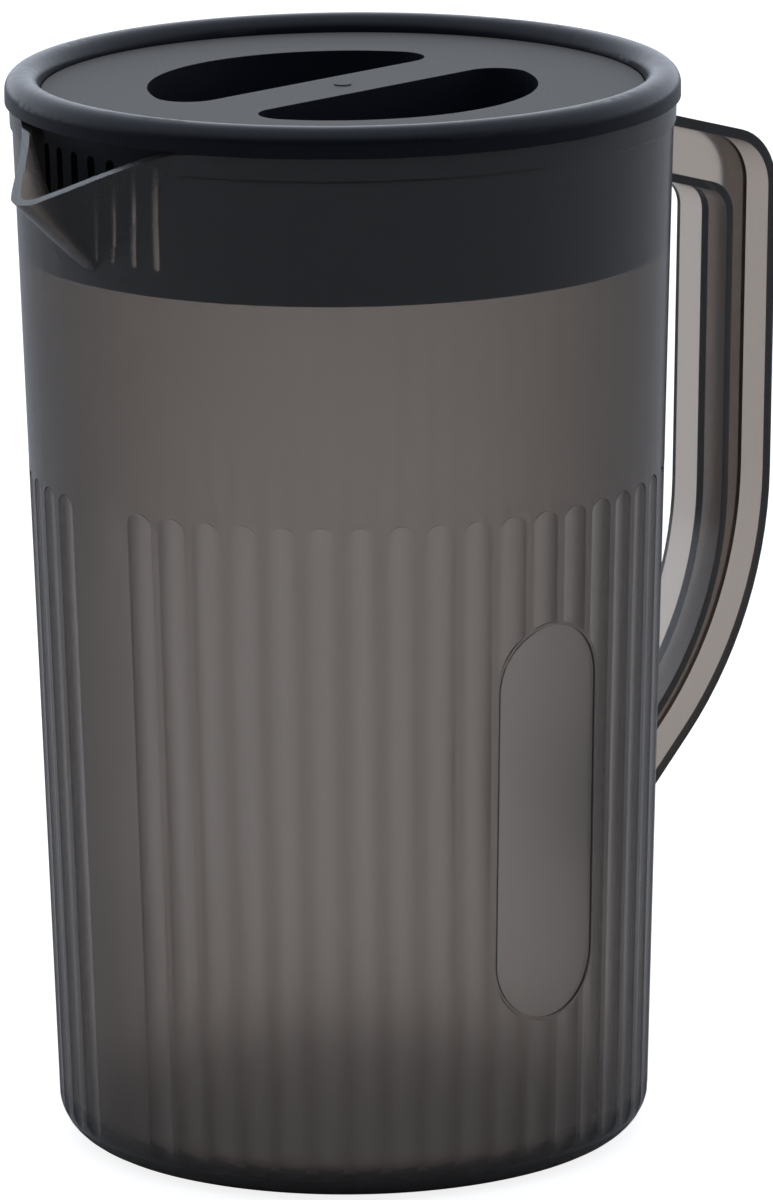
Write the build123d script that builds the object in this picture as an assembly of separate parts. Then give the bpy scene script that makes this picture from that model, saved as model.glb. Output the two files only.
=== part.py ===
from build123d import *
import os
from math import atan2, cos, pi, radians, sin, tan

# Water jug with a turning strainer lid. Millimetres, Z up, table at Z = 0.
# The spout points along -X and the handle along +X, and the lid turns about Z.

# Jug body
MOUTH_HEIGHT = 220.2        # table to the flat edge of the mouth
BASE_RADIUS = 62.1          # outer radius of the wall, carried down to the table
DRAFT = 1.7                 # degrees that the wall leans outwards
WALL = 1.8                  # thickness of the moulded wall
FLOOR = 2.4                 # thickness of the floor
BASE_CORNER = 8.5           # outer radius between wall and base
FOOT_WIDTH = 7.0            # flat ring that the jug stands on
FOOT_RECESS = 1.2           # hollow under the floor inside that ring
COLLAR_HEIGHT = 5.0         # thicker band below the mouth edge
COLLAR_PROUD = 0.5          # how far the band stands out

# Flutes round the lower body
FLUTE_PITCH = 7.05          # degrees from one ridge to the next
FLUTE_TOP = 145.7           # table to the rounded tops of the flutes
FLUTE_DEPTH = 0.55
RIDGE_WIDTH = 0.7           # flat ridge left between two flutes
PLAIN_PITCHES = 2           # flutes left out below the spout
HANDLE_PITCHES = 4          # flutes left out where the handle lands

# Smooth panel on each side of the body, with round ends
PANEL_WIDTH = 25.6
PANEL_BOTTOM = 36.0         # table to the lowest point of the panel
PANEL_TOP = 119.5           # table to its highest point
PANEL_DEPTH = 0.7

# Spout
SPOUT_REACH = 16.5          # tip beyond the wall
SPOUT_HALF_ANGLE = 19.5     # degrees from the middle of the spout to each end of its lips
SPOUT_DROP = 11.5           # tip below the mouth edge
LIP_ROUND = 14.0            # radius where the mouth edge turns down into the lips
SPOUT_SPREAD = 26.0         # degrees each way over which the spout grows from the wall
KEEL_SPREAD = 8.0           # the same at the foot of the keel
KEEL_LENGTH = 27.5          # mouth edge down to where the keel leaves the wall
KEEL_ROUND = 5.0            # outer radius along the keel and round the tip
NOSE_TURN = 55.0            # degrees each way that the round of the keel turns
SPOUT_STEPS = (-0.1, 0.3, 0.7, 1.1)     # shares of the keel's height with a section

# Handle, an open I section
HANDLE_REACH = 114.3        # axis to the outer face of the grip, at the top corner
HANDLE_WIDTH = 16.0         # across the flanges
HANDLE_DEPTH = 14.0         # outer face to the face that the fingers touch
HANDLE_LOW_DEPTH = 11.8     # the same along the lower arm
OUTER_FLANGE = 2.2
INNER_FLANGE = 1.8
HANDLE_WEB = 2.2
ARM_START = 211.5           # table to the top of the upper arm, at the wall
ARM_FALL = 16.0             # degrees that the upper arm slopes down
GRIP_LEAN = 1.6             # degrees that the grip leans inwards going down
LOWER_ARM = 45.0            # degrees of slope of the lower arm
LOWER_ARM_END = 46.0        # table to the underside of the lower arm, at the wall
TOP_CORNER = 13.5           # outer radius of the top corner
FINGER_CORNER = 6.0         # radius of the same corner on the finger side
BEND = 82.0                 # outer radius between the grip and the lower arm

# Lid
RIM_RADIUS = 70.0
RIM_WIDTH = 7.3             # round bead along the edge of the lid
RIM_ROUND = 3.4             # radius over the bead
BEAD_HEIGHT = 3.6           # crest of the bead above the disc
RIM_DROP = 2.3              # lower edge of the bead below the disc
LID_WALL = 1.6
SKIRT_DEPTH = 31.0          # skirt below the lower edge of the bead
CLEARANCE = 0.3             # between pieces that move on each other
POCKET_DEPTH = 14.0         # finger pockets, below the disc
POCKET_RADIUS = 40.5        # outer wall of the pockets, from the axis
POCKET_CORNER = 7.0
POCKET_DRAFT = 3.0          # degrees
GRIP_BAR = 16.0             # width of the bar between the pockets
BAR_ANGLE = 6.0             # degrees from the spout line to the bar
SLIT_COUNT = 7
SLIT_PITCH = 5.1            # degrees
SLIT_WIDTH = 2.4
SLIT_TOP = 4.0              # below the lower edge of the bead
SLIT_BOTTOM = 5.0           # above the lower edge of the skirt
POUR_WINDOW = 44.0          # degrees that the open pour window spans
GATE_WIDTH = 3.6            # small round mark in the middle of the disc
GATE_HEIGHT = 0.3

BEYOND = 300.0              # longer than anything that a cut has to pass

# Worked out from the sizes above
SLOPE = tan(radians(DRAFT))
RIM_BOTTOM = MOUTH_HEIGHT + CLEARANCE
DISC_TOP = RIM_BOTTOM + RIM_DROP
CREST = DISC_TOP + BEAD_HEIGHT
SKIRT_BOTTOM = RIM_BOTTOM - SKIRT_DEPTH
SEAT_RADIUS = RIM_RADIUS - RIM_WIDTH
FACING_SPOUT = 180.0


def wall_radius(z, inset=0.0):
    """Radius of the leaning wall at height z, moved inwards by inset."""
    return BASE_RADIUS + SLOPE * z - inset / cos(radians(DRAFT))


def outline_face(points):
    """Face in the XZ plane from (x, z) points."""
    return make_face(Polyline(*[(x, 0, z) for x, z in points], close=True)).face()


def rounded(face, spot, radius):
    """The face with its corner nearest to the (x, z) spot rounded."""
    corner = face.vertices().sort_by_distance(Vector(spot[0], 0, spot[1]))[0]
    return face.fillet_2d(radius, [corner])


def both_ways(face, width):
    """The face in XZ made into a solid of the given width about Y = 0."""
    return extrude(face, amount=width / 2, dir=(0, 1, 0), both=True)


def body_blank():
    """The outside of the vessel with its collar, as one solid."""
    band = MOUTH_HEIGHT - COLLAR_HEIGHT
    face = outline_face([
        (0, 0),
        (wall_radius(0), 0),
        (wall_radius(band), band),
        (wall_radius(band) + COLLAR_PROUD, band + COLLAR_PROUD),
        (wall_radius(MOUTH_HEIGHT) + COLLAR_PROUD, MOUTH_HEIGHT),
        (0, MOUTH_HEIGHT),
    ])
    return revolve(rounded(face, (wall_radius(0), 0), BASE_CORNER), Axis.Z)


def body_cavity():
    """The space inside the vessel, past the mouth."""
    floor = FOOT_RECESS + FLOOR
    over = MOUTH_HEIGHT + WALL
    corner = (wall_radius(floor, WALL), floor)
    face = outline_face([(0, floor), corner, (wall_radius(over, WALL), over), (0, over)])
    return revolve(rounded(face, corner, BASE_CORNER - WALL), Axis.Z)


def foot_hollow():
    """The shallow hollow that leaves a flat ring to stand on."""
    outer = wall_radius(0) - BASE_CORNER - FOOT_WIDTH
    face = outline_face([
        (0, -FOOT_RECESS),
        (outer + FOOT_RECESS, -FOOT_RECESS),
        (outer - FOOT_RECESS, FOOT_RECESS),
        (0, FOOT_RECESS),
    ])
    return revolve(face, Axis.Z)


def flute_cutter():
    """One shallow scoop along the wall, at +X, with a round upper end."""
    gap = 2 * pi * wall_radius(0) * FLUTE_PITCH / 360 - RIDGE_WIDTH
    radius = ((gap / 2) ** 2 + FLUTE_DEPTH**2) / (2 * FLUTE_DEPTH)
    bed = wall_radius(0) - FLUTE_DEPTH
    lean = Plane(origin=(0, 0, 0), x_dir=(1, 0, -SLOPE), z_dir=(SLOPE, 0, 1))
    rod = Pos(bed + radius, 0, FLUTE_TOP / 2) * Cylinder(radius, 2 * FLUTE_TOP)
    front = Plane(origin=(bed, 0, 0), x_dir=(0, 1, 0), z_dir=(1, 0, 0))
    outline = front * SlotOverall(2 * FLUTE_TOP, gap, rotation=90)
    return lean * (rod & extrude(outline, amount=2 * FLUTE_DEPTH))


def panel_prism(grow=0.0):
    """Bar with the round-ended outline of the side panels, right through along Y."""
    width = PANEL_WIDTH + 2 * grow
    height = PANEL_TOP - PANEL_BOTTOM + 2 * grow
    middle = (PANEL_TOP + PANEL_BOTTOM) / 2
    outline = Plane.XZ * Pos(0, middle) * SlotOverall(height, width, rotation=90)
    return both_ways(outline.face(), BEYOND)


def panel_recess():
    """The thin layer that the side panels lose."""
    top = PANEL_TOP + PANEL_WIDTH
    skin = revolve(outline_face([
        (wall_radius(0, PANEL_DEPTH), 0),
        (wall_radius(0) + WALL, 0),
        (wall_radius(top) + WALL, top),
        (wall_radius(top, PANEL_DEPTH), top),
    ]), Axis.Z)
    return skin & panel_prism()


def flute_angles():
    """Angles of the flutes, leaving the spout and handle sides plain."""
    last = 180 / FLUTE_PITCH - HANDLE_PITCHES / 2
    angles = []
    step = (PLAIN_PITCHES + 1) / 2
    while step <= last:
        angles += [FACING_SPOUT + step * FLUTE_PITCH, FACING_SPOUT - step * FLUTE_PITCH]
        step += 1
    return angles


def flutes():
    """All flutes, stopping short of the side panels."""
    cutter = flute_cutter()
    panel = panel_prism(RIDGE_WIDTH)
    shapes = []
    for angle in flute_angles():
        flute = Rot(0, 0, angle) * cutter
        sideways = abs(wall_radius(FLUTE_TOP) * cos(radians(angle)))
        if sideways < PANEL_WIDTH / 2 + FLUTE_PITCH:
            flute = flute - panel
        shapes += flute.solids()
    return shapes


def keel_reach(z):
    """Axis to the keel at height z; it leaves the wall at a steady slope."""
    foot = MOUTH_HEIGHT - KEEL_LENGTH
    tip = MOUTH_HEIGHT - SPOUT_DROP
    reach = wall_radius(MOUTH_HEIGHT) + SPOUT_REACH
    return wall_radius(foot) + (reach - wall_radius(foot)) * (z - foot) / (tip - foot)


def keel_slope():
    """Slope of the keel from upright, in radians."""
    foot = MOUTH_HEIGHT - KEEL_LENGTH
    return atan2(keel_reach(MOUTH_HEIGHT) - keel_reach(foot), KEEL_LENGTH)


def spout_section(z, inset):
    """Level cut through the spout: round nose with flanks that sweep into the wall."""
    rise = (z - MOUTH_HEIGHT + KEEL_LENGTH) / KEEL_LENGTH
    spread = radians(KEEL_SPREAD + (SPOUT_SPREAD - KEEL_SPREAD) * rise)
    wall = wall_radius(z, inset)
    nose = KEEL_ROUND - inset
    turn = radians(NOSE_TURN)
    middle = keel_reach(z) - inset / cos(keel_slope()) - nose
    side = (-wall * cos(spread), wall * sin(spread), z)
    nose_end = (-middle - nose * cos(turn), nose * sin(turn), z)
    far_side = (side[0], -side[1], z)
    far_nose = (nose_end[0], -nose_end[1], z)
    flank = Spline(
        side, nose_end,
        tangents=[(-sin(spread), -cos(spread), 0), (-sin(turn), -cos(turn), 0)],
    )
    far_flank = Spline(
        far_nose, far_side,
        tangents=[(sin(turn), -cos(turn), 0), (sin(spread), -cos(spread), 0)],
    )
    tip = ThreePointArc(nose_end, (-middle - nose, 0, z), far_nose)
    back = Polyline(far_side, (-wall / 2, 0, z), side)
    return make_face([flank, tip, far_flank, back])


def spout_beak(inset=0.0):
    """The spout from under its keel to over the mouth; inset gives its inside."""
    foot = MOUTH_HEIGHT - KEEL_LENGTH
    return loft([spout_section(foot + KEEL_LENGTH * step, inset) for step in SPOUT_STEPS])


def above_lips():
    """Everything over the mouth edge and the two lips that slope down to the tip."""
    angle = radians(SPOUT_HALF_ANGLE)
    root = -wall_radius(MOUTH_HEIGHT) * cos(angle)
    tip = -wall_radius(MOUTH_HEIGHT) - SPOUT_REACH
    fall = SPOUT_DROP / (root - tip)
    face = outline_face([
        (0, MOUTH_HEIGHT),
        (root, MOUTH_HEIGHT),
        (root - BEYOND, MOUTH_HEIGHT - fall * BEYOND),
        (root - BEYOND, MOUTH_HEIGHT + BEYOND),
        (0, MOUTH_HEIGHT + BEYOND),
    ])
    return both_ways(rounded(face, (root, MOUTH_HEIGHT), LIP_ROUND), BEYOND)


def meet(p, p_way, q, q_way):
    """Where the line through p meets the line through q, as (x, z)."""
    cross = p_way[0] * q_way[1] - p_way[1] * q_way[0]
    along = ((q[0] - p[0]) * q_way[1] - (q[1] - p[1]) * q_way[0]) / cross
    return (p[0] + along * p_way[0], p[1] + along * p_way[1])


def handle_face(inset, low_inset, corner):
    """Side view of the handle back to the wall, its three outer lines moved in."""
    arm = radians(ARM_FALL)
    lean = radians(GRIP_LEAN)
    low = radians(LOWER_ARM)
    arm_way = (cos(arm), -sin(arm))
    grip_way = (-sin(lean), -cos(lean))
    low_way = (cos(low), sin(low))
    arm_start = (
        wall_radius(ARM_START) - inset * sin(arm),
        ARM_START - inset * cos(arm),
    )
    low_start = (
        wall_radius(LOWER_ARM_END) - low_inset * sin(low),
        LOWER_ARM_END + low_inset * cos(low),
    )
    grip_top = (HANDLE_REACH - inset * cos(lean), ARM_START)
    top = meet(arm_start, arm_way, grip_top, grip_way)
    bottom = meet(low_start, low_way, grip_top, grip_way)
    inside = wall_radius(LOWER_ARM_END) - WALL / 2
    upper_in = meet(arm_start, arm_way, (inside, 0), (0, 1))
    lower_in = meet(low_start, low_way, (inside, 0), (0, 1))
    face = outline_face([upper_in, top, bottom, lower_in])
    face = rounded(face, top, corner)
    return rounded(face, bottom, BEND - inset)


def handle():
    """I section handle: a web with a flange along each of its two edges."""
    outside = handle_face(0, 0, TOP_CORNER)
    under_flange = handle_face(OUTER_FLANGE, OUTER_FLANGE, TOP_CORNER - OUTER_FLANGE)
    gap = handle_face(HANDLE_DEPTH, HANDLE_LOW_DEPTH, FINGER_CORNER)
    before_gap = handle_face(
        HANDLE_DEPTH - INNER_FLANGE, HANDLE_LOW_DEPTH - INNER_FLANGE,
        FINGER_CORNER + INNER_FLANGE,
    )
    web = both_ways(outside - gap, HANDLE_WEB)
    outer = both_ways(outside - under_flange, HANDLE_WIDTH)
    inner = both_ways(before_gap - gap, HANDLE_WIDTH)
    return web + outer + inner


def jug_body():
    """The jug: vessel, collar, flutes, spout and handle in one moulding."""
    outside = body_blank() + handle() + spout_beak()
    outside = outside - flutes() - panel_recess() - foot_hollow()
    inside = body_cavity() + spout_beak(WALL)
    return (outside - inside - above_lips()).solids().sort_by(SortBy.VOLUME)[-1]


def lid_rim():
    """The round bead along the edge of the lid."""
    ledge = RIM_BOTTOM + LID_WALL + CLEARANCE
    hook = wall_radius(RIM_BOTTOM, WALL)
    face = outline_face([
        (SEAT_RADIUS, CREST),
        (RIM_RADIUS, CREST),
        (RIM_RADIUS, RIM_BOTTOM),
        (hook, RIM_BOTTOM),
        (hook, ledge),
        (SEAT_RADIUS, ledge),
    ])
    face = rounded(face, (SEAT_RADIUS, CREST), RIM_ROUND)
    return revolve(rounded(face, (RIM_RADIUS, CREST), RIM_ROUND), Axis.Z)


def skirt_band(low, high):
    """Ring of the skirt between two heights below the bead."""
    outer = WALL + CLEARANCE
    inner = outer + LID_WALL
    return revolve(outline_face([
        (wall_radius(low, inner), low),
        (wall_radius(low, outer), low),
        (wall_radius(high, outer), high),
        (wall_radius(high, inner), high),
    ]), Axis.Z)


def pocket_outline(grow=0.0):
    """Half-moon outline of a finger pocket, on the +Y side of the bar."""
    disc = Circle(POCKET_RADIUS + grow)
    edge = GRIP_BAR / 2 - grow
    keep = Pos(0, edge) * Rectangle(BEYOND, BEYOND, align=(Align.CENTER, Align.MIN))
    moon = (disc & keep).face()
    return moon.fillet_2d(POCKET_CORNER + grow, moon.vertices())


def pocket_cup(grow, depth):
    """Tapering block with a pocket's outline, down from the top of the disc."""
    top = Plane(origin=(0, 0, DISC_TOP), z_dir=(0, 0, 1))
    return extrude(top * pocket_outline(grow), amount=-depth, taper=POCKET_DRAFT)


def both_pockets(grow, depth):
    """The same block on both sides of the bar."""
    one = Rot(0, 0, BAR_ANGLE) * pocket_cup(grow, depth)
    return [one, Rot(0, 0, 180) * one]


def slit():
    """One slit through the skirt, at -X, with a rounded lower end."""
    high = RIM_BOTTOM - SLIT_TOP
    low = SKIRT_BOTTOM + SLIT_BOTTOM
    outline = SlotOverall(high - low, SLIT_WIDTH, rotation=90)
    plane = Plane(origin=(0, 0, (high + low) / 2), x_dir=(0, 1, 0), z_dir=(-1, 0, 0))
    return extrude(plane * outline, amount=RIM_RADIUS)


def slits():
    """The strainer's row of slits, centred on the spout."""
    cutter = slit()
    half = (SLIT_COUNT - 1) / 2
    return [Rot(0, 0, (i - half) * SLIT_PITCH) * cutter for i in range(SLIT_COUNT)]


def pour_window():
    """Wedge that opens the skirt on the side away from the slits."""
    high = RIM_BOTTOM - SLIT_TOP
    reach = BEYOND
    half = radians(POUR_WINDOW / 2)
    side = reach * sin(half)
    face = make_face(Polyline(
        (0, 0), (reach * cos(half), side), (reach * cos(half), -side), close=True
    ))
    return Pos(0, 0, SKIRT_BOTTOM - LID_WALL) * extrude(face, high - SKIRT_BOTTOM + LID_WALL)


def lid():
    """Disc with two finger pockets and the strainer skirt below it."""
    seat = SEAT_RADIUS - CLEARANCE
    edge = wall_radius(RIM_BOTTOM, WALL + CLEARANCE)
    plate = revolve(outline_face([
        (0, DISC_TOP - LID_WALL),
        (seat - LID_WALL, DISC_TOP - LID_WALL),
        (seat - LID_WALL, RIM_BOTTOM),
        (edge, RIM_BOTTOM),
        (edge, RIM_BOTTOM + LID_WALL),
        (seat, RIM_BOTTOM + LID_WALL),
        (seat, DISC_TOP),
        (0, DISC_TOP),
    ]), Axis.Z)
    skirt = skirt_band(SKIRT_BOTTOM, RIM_BOTTOM + LID_WALL / 2) - slits() - pour_window()
    cups = both_pockets(LID_WALL, POCKET_DEPTH + LID_WALL)
    solid = (plate + skirt + cups) - both_pockets(0, POCKET_DEPTH)
    gate = Pos(0, 0, DISC_TOP) * Cylinder(GATE_WIDTH / 2, GATE_HEIGHT * 2)
    return (solid + gate).solids().sort_by(SortBy.VOLUME)[-1]


def main():
    os.makedirs("parts", exist_ok=True)
    export_step(jug_body(), "parts/jug_body.step")
    export_step(lid_rim(), "parts/lid_rim.step")
    export_step(lid(), "parts/lid.step")


main()
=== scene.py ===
import math

import bpy
from mathutils import Matrix, Vector


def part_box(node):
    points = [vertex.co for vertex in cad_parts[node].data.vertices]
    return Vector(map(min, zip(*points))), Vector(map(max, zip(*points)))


# Water jug with a turning strainer lid: finishes, light and camera. Metres, Z up.
# The spout points along -X and the handle along +X.
UP = Vector((0.0, 0.0, 1.0))

# Camera, as fitted to the photograph
PHOTO_HEIGHT = 1200         # pixels
SENSOR = 36.0               # mm along the photograph's long side
FOCAL_PIXELS = 9320.0       # focal length in photograph pixels
DISTANCE = 1.9              # camera to the jug's axis, on plan
EYE_HEIGHT = 0.568          # camera above the table
PITCH = 0.2350              # radians that the camera looks down
YAW = 0.0042                # radians that it looks to the right of the axis
ROLL = 0.0102               # radians that the picture leans
SPOUT_BEARING = 50.5        # degrees from the camera round to the spout
FAR_CLIP = 20.0             # how far the camera sees

# Studio surroundings, where 1 is white
DIM = 0.03                  # in front of the jug
BRIGHT = 1.75               # behind and over it
DIM_UNTIL = -0.45           # cosine to the brightest direction, up to which all is dim
BRIGHT_FROM = 0.4           # the same, from which all is bright
COOL = (0.88, 0.95, 1.08, 1.0)
WHITE = (1.0, 1.0, 1.0, 1.0)

# Floor
FLOOR_SIZE = 12.0
FLOOR_TONE = 0.2
FLOOR_ROUGH = 0.9
FLOOR_LIFT = 0.84           # what the floor adds to its own light, so that it reads white

# Smoky plastic of the jug
SMOKE_TINT = (0.69, 0.7, 0.72, 1.0)
SMOKE_DEPTH_TINT = (0.3, 0.19, 0.09, 1.0)
SMOKE = 500.0               # absorption, per metre
CLEAR = 0.985               # share of the light that the plastic lets in; the rest is haze
PLASTIC_IOR = 1.49
JUG_NOISE = 60.0            # noise cells per metre, as in the other noises
OUTER_ROUGH = (0.18, 0.22)  # both stay off 0.27, near which the denoised plastic is patchy
INNER_ROUGH = (0.4, 0.46)
WALL_MIDDLE = 0.0611        # radius of the middle of the jug's wall, carried down to the table
WALL_LEAN = math.radians(1.7)

# Black plastic of the lid
BLACK = (0.004, 0.005, 0.008, 1.0)
BLACK_SHINE = 0.12
GRAIN_HEIGHT = 0.00003
BEAD_NOISE = 300.0
BEAD_NOISE_DETAIL = 3.0
BEAD_ROUGH = (0.24, 0.34)
LID_NOISE = 1800.0
SKIRT_ROUGH = (0.26, 0.36)
# Painted sheen: a paler colour on the disc's top face that stands in for the light falling on it
# and the reflection it catches; the plastic is the same black.
PAINTED_DISC_SHEEN = (0.046, 0.0438, 0.0408, 1.0)
DISC_ROUGH = (0.55, 0.7)
TOP_SKIN = 0.0004           # depth below the top of the disc that counts as its face, which gets the painted sheen and the matte roughness


def material(name):
    """A new node material; returns it with its node tree and its main shader."""
    mat = bpy.data.materials.new(name)
    mat.use_nodes = True
    return mat, mat.node_tree, mat.node_tree.nodes["Principled BSDF"]


def give(tree, socket, value):
    """Sets a socket to a constant, or links another node's output to it."""
    if isinstance(value, bpy.types.NodeSocket):
        tree.links.new(value, socket)
    else:
        socket.default_value = value


def calculation(tree, kind, operation, *values):
    """A node of the kind that does one operation on constants and other nodes' outputs."""
    node = tree.nodes.new(kind)
    node.operation = operation
    for socket, value in zip(node.inputs, values):
        give(tree, socket, value)
    return node


def number_math(tree, operation, *values):
    """The number that an operation on numbers gives."""
    return calculation(tree, "ShaderNodeMath", operation, *values).outputs["Value"]


def vector_math(tree, operation, *values):
    """The node of an operation on vectors."""
    return calculation(tree, "ShaderNodeVectorMath", operation, *values)


def mixed(tree, kind, factor, first, second):
    """The first value where the factor is 0, and the second where it is 1."""
    mix = tree.nodes.new("ShaderNodeMix")
    mix.data_type = kind
    give(tree, mix.inputs["Factor"], factor)
    give(tree, mix.inputs["A"], first)
    give(tree, mix.inputs["B"], second)
    return mix.outputs["Result"]


def ranged(tree, source, low, high, start=0.0, end=1.0, course="LINEAR"):
    """The source's stretch from start to end, spread from low to high."""
    spread = tree.nodes.new("ShaderNodeMapRange")
    spread.interpolation_type = course
    spread.inputs["From Min"].default_value = start
    spread.inputs["From Max"].default_value = end
    spread.inputs["To Min"].default_value = low
    spread.inputs["To Max"].default_value = high
    tree.links.new(source, spread.inputs["Value"])
    return spread.outputs["Result"]


def own_place(tree):
    """Place in the object's own coordinates."""
    return tree.nodes.new("ShaderNodeTexCoord").outputs["Object"]


def own_height(tree):
    """Height in the object's own coordinates."""
    place = tree.nodes.new("ShaderNodeSeparateXYZ")
    tree.links.new(own_place(tree), place.inputs["Vector"])
    return place.outputs["Z"]


def object_noise(tree, scale, detail=2.0):
    """Noise from 0 to 1 over the object's own coordinates."""
    noise = tree.nodes.new("ShaderNodeTexNoise")
    noise.inputs["Scale"].default_value = scale
    noise.inputs["Detail"].default_value = detail
    tree.links.new(own_place(tree), noise.inputs["Vector"])
    return noise.outputs["Fac"]


def grain(tree, shader, height):
    """Fine relief on a shader."""
    bump = tree.nodes.new("ShaderNodeBump")
    bump.inputs["Distance"].default_value = GRAIN_HEIGHT
    bump.inputs["Strength"].default_value = 1.0
    tree.links.new(height, bump.inputs["Height"])
    tree.links.new(bump.outputs["Normal"], shader.inputs["Normal"])


def inside_wall(tree):
    """1 inside the middle of the jug's leaning wall, where its faces are more frosted, else 0."""
    flat = vector_math(tree, "MULTIPLY", own_place(tree), (1.0, 1.0, 0.0)).outputs["Vector"]
    radius = vector_math(tree, "LENGTH", flat).outputs["Value"]
    lean = math.tan(WALL_LEAN)
    middle = number_math(tree, "MULTIPLY_ADD", own_height(tree), lean, WALL_MIDDLE)
    return number_math(tree, "LESS_THAN", radius, middle)


def smoky_plastic():
    """Translucent grey polypropylene: thick parts look darker, and what lies far behind blurs."""
    mat, tree, shader = material("smoky_plastic")
    shader.inputs["Base Color"].default_value = SMOKE_TINT
    shader.inputs["Transmission Weight"].default_value = CLEAR
    shader.inputs["IOR"].default_value = PLASTIC_IOR
    noise = object_noise(tree, JUG_NOISE)
    outer = ranged(tree, noise, *OUTER_ROUGH)
    inner = ranged(tree, noise, *INNER_ROUGH)
    rough = mixed(tree, "FLOAT", inside_wall(tree), outer, inner)
    tree.links.new(rough, shader.inputs["Roughness"])
    smoke = tree.nodes.new("ShaderNodeVolumeAbsorption")
    smoke.inputs["Color"].default_value = SMOKE_DEPTH_TINT
    smoke.inputs["Density"].default_value = SMOKE
    tree.links.new(smoke.outputs["Volume"], tree.nodes["Material Output"].inputs["Volume"])
    return mat


def black_plastic():
    """Glossy black polypropylene with a cold cast."""
    mat, tree, shader = material("black_plastic")
    shader.inputs["Base Color"].default_value = BLACK
    shader.inputs["Specular IOR Level"].default_value = BLACK_SHINE
    noise = object_noise(tree, BEAD_NOISE, BEAD_NOISE_DETAIL)
    tree.links.new(ranged(tree, noise, *BEAD_ROUGH), shader.inputs["Roughness"])
    grain(tree, shader, noise)
    return mat


def lid_plastic(disc_top):
    """The same black, with a matte top on the disc. The top's paler colour is painted sheen: the
    light that the top face catches, painted into its colour.
    """
    mat, tree, shader = material("lid_plastic")
    on_top = number_math(tree, "GREATER_THAN", own_height(tree), disc_top - TOP_SKIN)
    # Painted sheen: on the top face the black gives way to the paler disc colour, which stands in
    # for light on that face.
    black_or_painted_sheen = mixed(tree, "RGBA", on_top, BLACK, PAINTED_DISC_SHEEN)
    tree.links.new(black_or_painted_sheen, shader.inputs["Base Color"])
    shader.inputs["Specular IOR Level"].default_value = BLACK_SHINE
    noise = object_noise(tree, LID_NOISE)
    below = ranged(tree, noise, *SKIRT_ROUGH)
    top = ranged(tree, noise, *DISC_ROUGH)
    tree.links.new(mixed(tree, "FLOAT", on_top, below, top), shader.inputs["Roughness"])
    grain(tree, shader, noise)
    return mat


def dress(obj, mat):
    """Gives an object one material."""
    obj.data.materials.clear()
    obj.data.materials.append(mat)


def add_camera():
    """The camera at the photograph's place; returns the level direction from the jug to it."""
    data = bpy.data.cameras.new("camera")
    data.sensor_fit = "AUTO"
    data.sensor_width = SENSOR
    data.lens = FOCAL_PIXELS / PHOTO_HEIGHT * SENSOR
    data.clip_end = FAR_CLIP
    camera = bpy.data.objects.new("camera", data)
    bpy.context.collection.objects.link(camera)
    bearing = math.radians(180.0 + SPOUT_BEARING)
    out = Vector((math.cos(bearing), math.sin(bearing), 0.0))
    across = Vector((-out.y, out.x, 0.0))
    ahead = (-out * math.cos(YAW) + across * math.sin(YAW)).normalized()
    forward = (ahead * math.cos(PITCH) - UP * math.sin(PITCH)).normalized()
    level = forward.cross(UP).normalized()
    lean = Matrix.Rotation(ROLL, 3, forward)
    right = lean @ level
    top = lean @ level.cross(forward)
    basis = Matrix((right, top, -forward)).transposed().to_4x4()
    basis.translation = out * DISTANCE + UP * EYE_HEIGHT
    camera.matrix_world = basis
    bpy.context.scene.camera = camera
    return out


def straight_rays(tree):
    """1 for rays that come from the camera past or through the plastic, else 0."""
    paths = tree.nodes.new("ShaderNodeLightPath")
    unmirrored = number_math(tree, "LESS_THAN", paths.outputs["Glossy Depth"], 0.5)
    through = number_math(tree, "MULTIPLY", paths.outputs["Is Transmission Ray"], unmirrored)
    return number_math(tree, "MAXIMUM", paths.outputs["Is Camera Ray"], through)


def add_floor():
    """Plain pale floor that reads white behind and through the jug."""
    bpy.ops.mesh.primitive_plane_add(size=FLOOR_SIZE, location=(0, 0, 0))
    floor = bpy.context.object
    floor.name = "floor"
    mat, tree, shader = material("floor")
    shader.inputs["Base Color"].default_value = (FLOOR_TONE, FLOOR_TONE, FLOOR_TONE, 1.0)
    shader.inputs["Roughness"].default_value = FLOOR_ROUGH
    shader.inputs["Emission Color"].default_value = WHITE
    lift = number_math(tree, "MULTIPLY", straight_rays(tree), FLOOR_LIFT)
    tree.links.new(lift, shader.inputs["Emission Strength"])
    dress(floor, mat)


def add_world(back):
    """Studio surroundings: brightest towards back, dim opposite, and white behind the jug."""
    world = bpy.data.worlds.new("world")
    world.use_nodes = True
    tree = world.node_tree
    place = tree.nodes.new("ShaderNodeTexCoord").outputs["Generated"]
    facing = vector_math(tree, "DOT_PRODUCT", place, back).outputs["Value"]
    studio = ranged(tree, facing, DIM, BRIGHT, DIM_UNTIL, BRIGHT_FROM, "SMOOTHSTEP")
    straight = straight_rays(tree)
    background = tree.nodes["Background"]
    tree.links.new(mixed(tree, "FLOAT", straight, studio, 1.0), background.inputs["Strength"])
    tree.links.new(mixed(tree, "RGBA", straight, COOL, WHITE), background.inputs["Color"])
    bpy.context.scene.world = world


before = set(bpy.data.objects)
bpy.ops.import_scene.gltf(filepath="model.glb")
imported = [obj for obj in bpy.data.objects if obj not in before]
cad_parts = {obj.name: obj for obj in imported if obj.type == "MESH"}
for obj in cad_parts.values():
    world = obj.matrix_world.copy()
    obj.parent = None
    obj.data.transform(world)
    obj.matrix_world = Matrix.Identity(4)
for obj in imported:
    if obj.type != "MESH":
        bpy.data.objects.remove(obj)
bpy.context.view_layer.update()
dress(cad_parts["jug_body"], smoky_plastic())
disc_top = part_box("lid")[1][2]
dress(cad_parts["lid"], lid_plastic(disc_top))
dress(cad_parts["lid_rim"], black_plastic())
out = add_camera()
add_floor()
add_world(tuple((UP - out).normalized()))
bpy.context.scene.view_settings.view_transform = "Standard"
